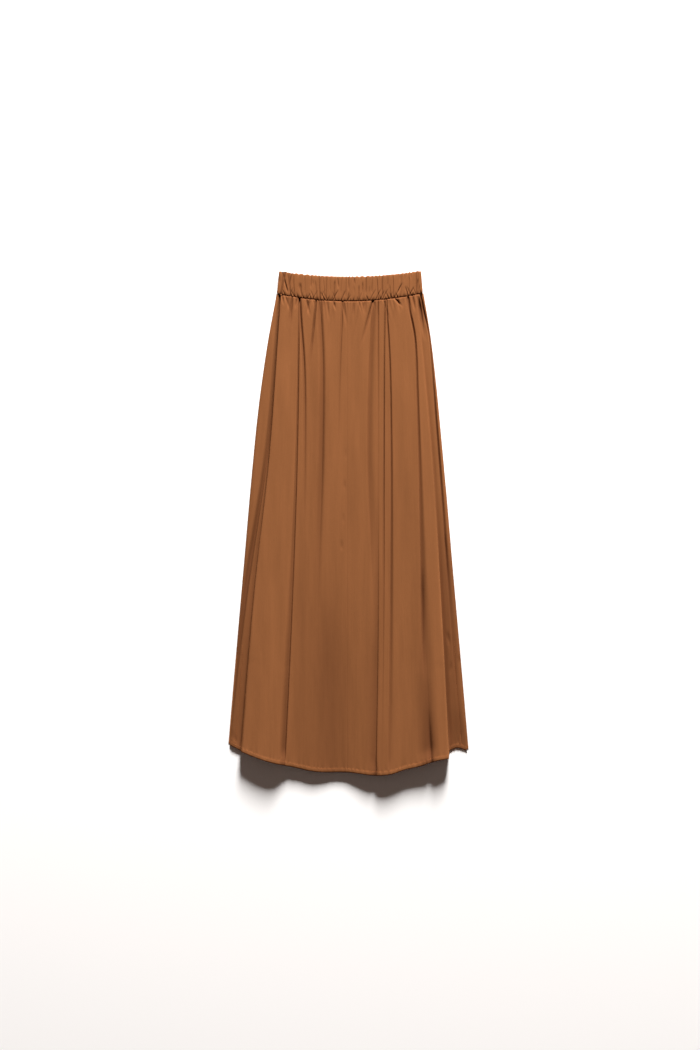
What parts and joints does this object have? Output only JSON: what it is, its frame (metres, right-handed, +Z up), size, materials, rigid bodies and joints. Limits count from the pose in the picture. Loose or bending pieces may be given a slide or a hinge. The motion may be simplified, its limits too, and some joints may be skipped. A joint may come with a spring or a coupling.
{
  "type": "midi skirt laid flat",
  "caption": "Gathered midi skirt laid flat: elastic waistband, two front panels, one back panel, curved hem, side slits.",
  "frame": {"origin": "middle of the skirt's outline seen from above, on the surface that it lies on", "axes": "+Z up from the surface, +Y towards the waist, +X to the right of the front as seen from above"},
  "size_m": [0.456, 0.9564, 0.0229],
  "materials": {
    "waistband": "matt cotton poplin",
    "front_left_panel": "matt cotton poplin",
    "front_right_panel": "matt cotton poplin",
    "back_panel": "matt cotton poplin"
  },
  "bodies": {
    "root": {"waistband": "waistband", "front_left_panel": "front_left_panel", "front_right_panel": "front_right_panel", "back_panel": "back_panel"}
  },
  "joints": []
}
